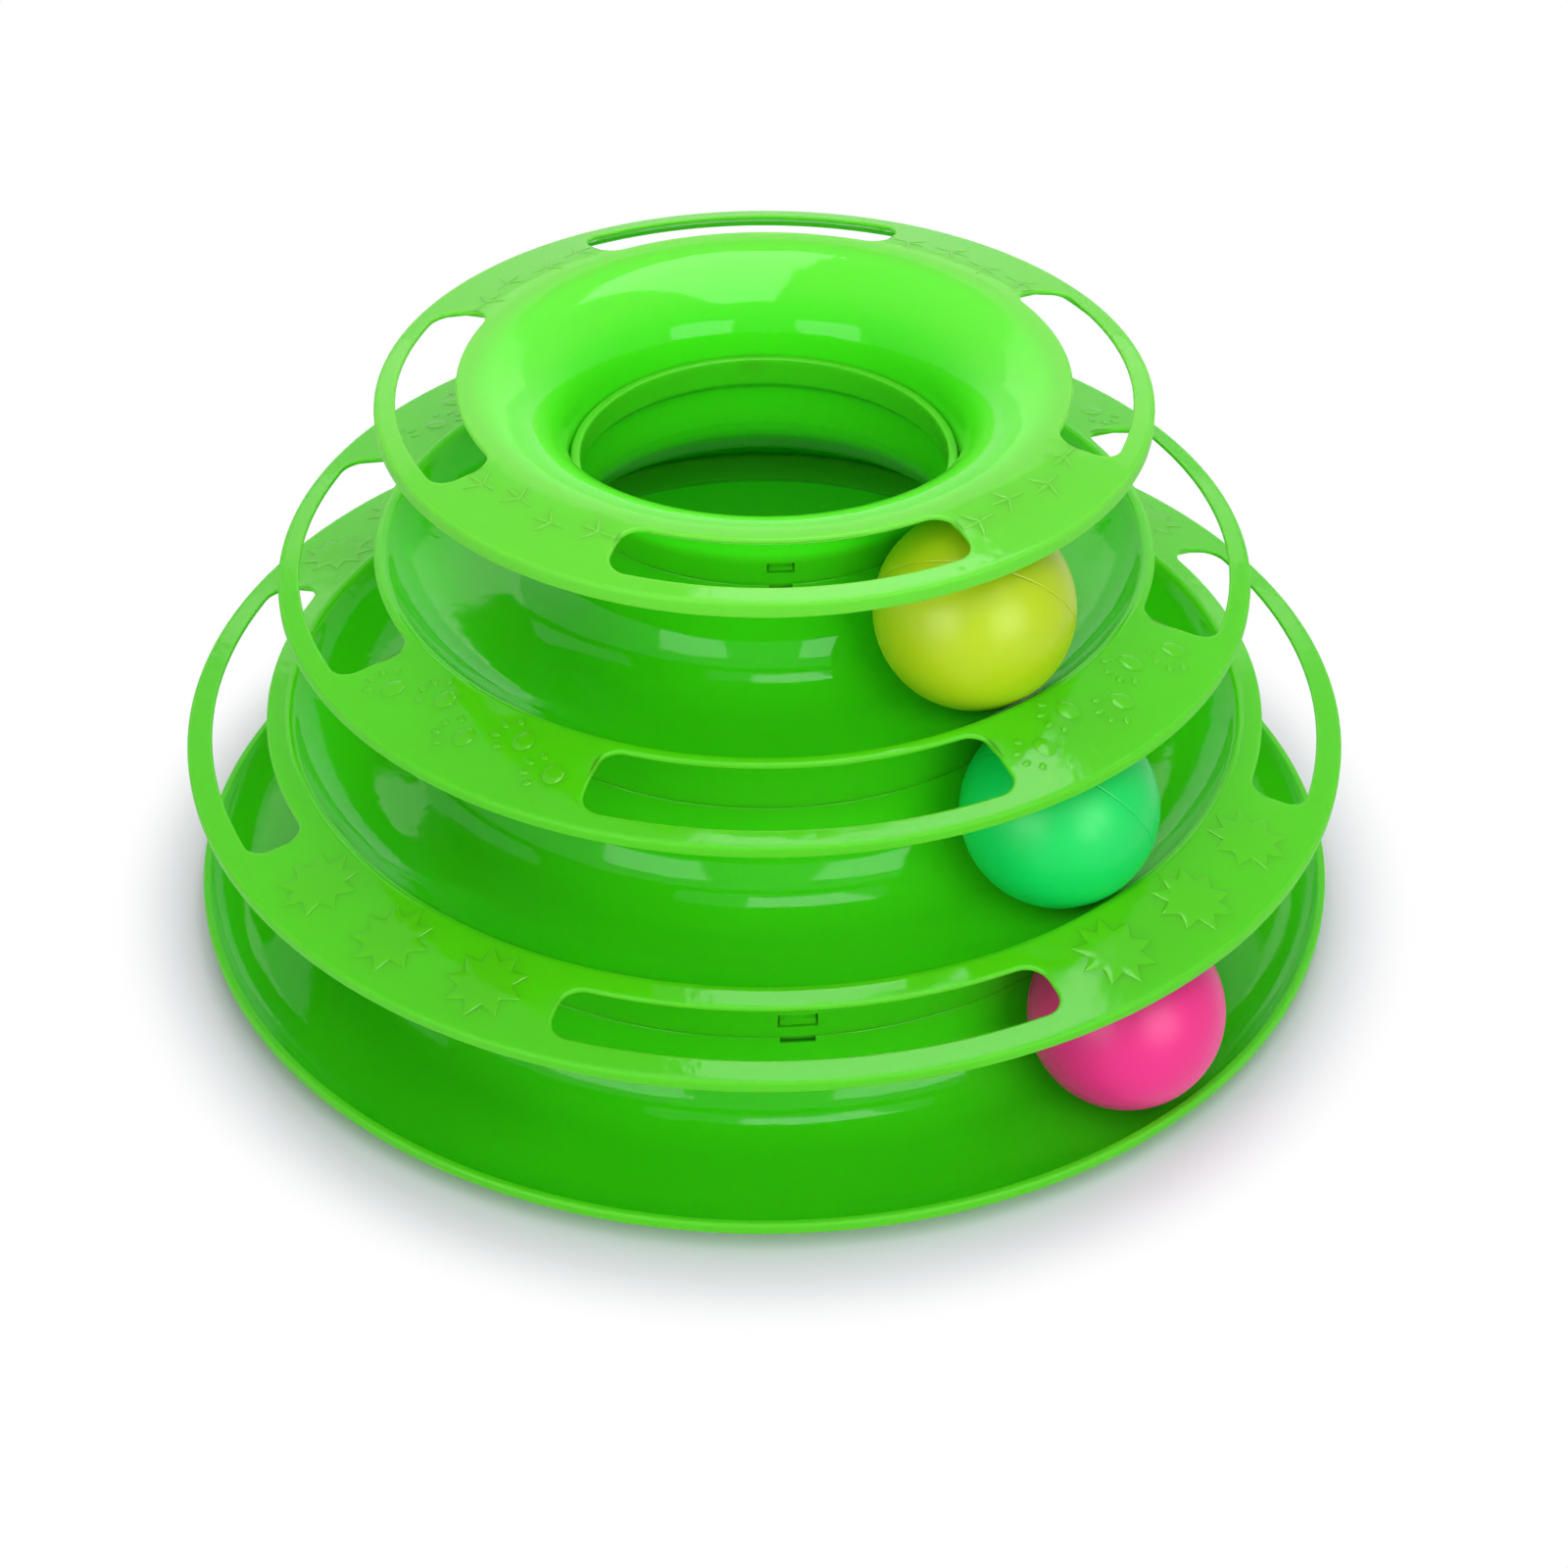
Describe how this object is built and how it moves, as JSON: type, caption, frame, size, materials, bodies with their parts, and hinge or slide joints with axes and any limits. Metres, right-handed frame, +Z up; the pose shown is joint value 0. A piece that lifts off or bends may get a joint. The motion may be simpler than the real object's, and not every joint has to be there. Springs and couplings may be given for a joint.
{
  "type": "cat ball track toy",
  "caption": "Round stepped tower of open ring tracks, with curved paw slots through each brim and a captive ball that rolls in each trough.",
  "frame": {"origin": "centre of the tower's axis, on the floor under the rubber pads", "axes": "+Z up along the tower's axis; -Y is the side that the picture shows in front"},
  "size_m": [0.25, 0.25, 0.1249],
  "materials": {
    "green_plastic": "glossy, slightly translucent moulded polypropylene",
    "pink_ball_plastic": "satin moulded plastic",
    "green_ball_plastic": "satin moulded plastic",
    "yellow_ball_plastic": "satin moulded plastic",
    "clear_rubber": "frosted soft rubber"
  },
  "bodies": {
    "tower": {"base_track": "green_plastic", "lower_track": "green_plastic", "upper_track": "green_plastic", "top_ring": "green_plastic", "foot_pad_front_right": "clear_rubber", "foot_pad_back_right": "clear_rubber", "foot_pad_back_left": "clear_rubber", "foot_pad_front_left": "clear_rubber"},
    "pink_ball": {"pink_ball_upper_half": "pink_ball_plastic", "pink_ball_lower_half": "pink_ball_plastic"},
    "green_ball": {"green_ball_upper_half": "green_ball_plastic", "green_ball_lower_half": "green_ball_plastic"},
    "yellow_ball": {"yellow_ball_upper_half": "yellow_ball_plastic", "yellow_ball_lower_half": "yellow_ball_plastic"}
  },
  "joints": [
    {"name": "pink_ball_roll", "type": "hinge", "parent": "tower", "child": "pink_ball", "pos_m": [0, 0, 0.0233], "axis": [0, 0, 1], "continuous": true},
    {"name": "green_ball_roll", "type": "hinge", "parent": "tower", "child": "green_ball", "pos_m": [0, 0, 0.06127], "axis": [0, 0, 1], "continuous": true},
    {"name": "yellow_ball_roll", "type": "hinge", "parent": "tower", "child": "yellow_ball", "pos_m": [0, 0, 0.09924], "axis": [0, 0, 1], "continuous": true}
  ]
}
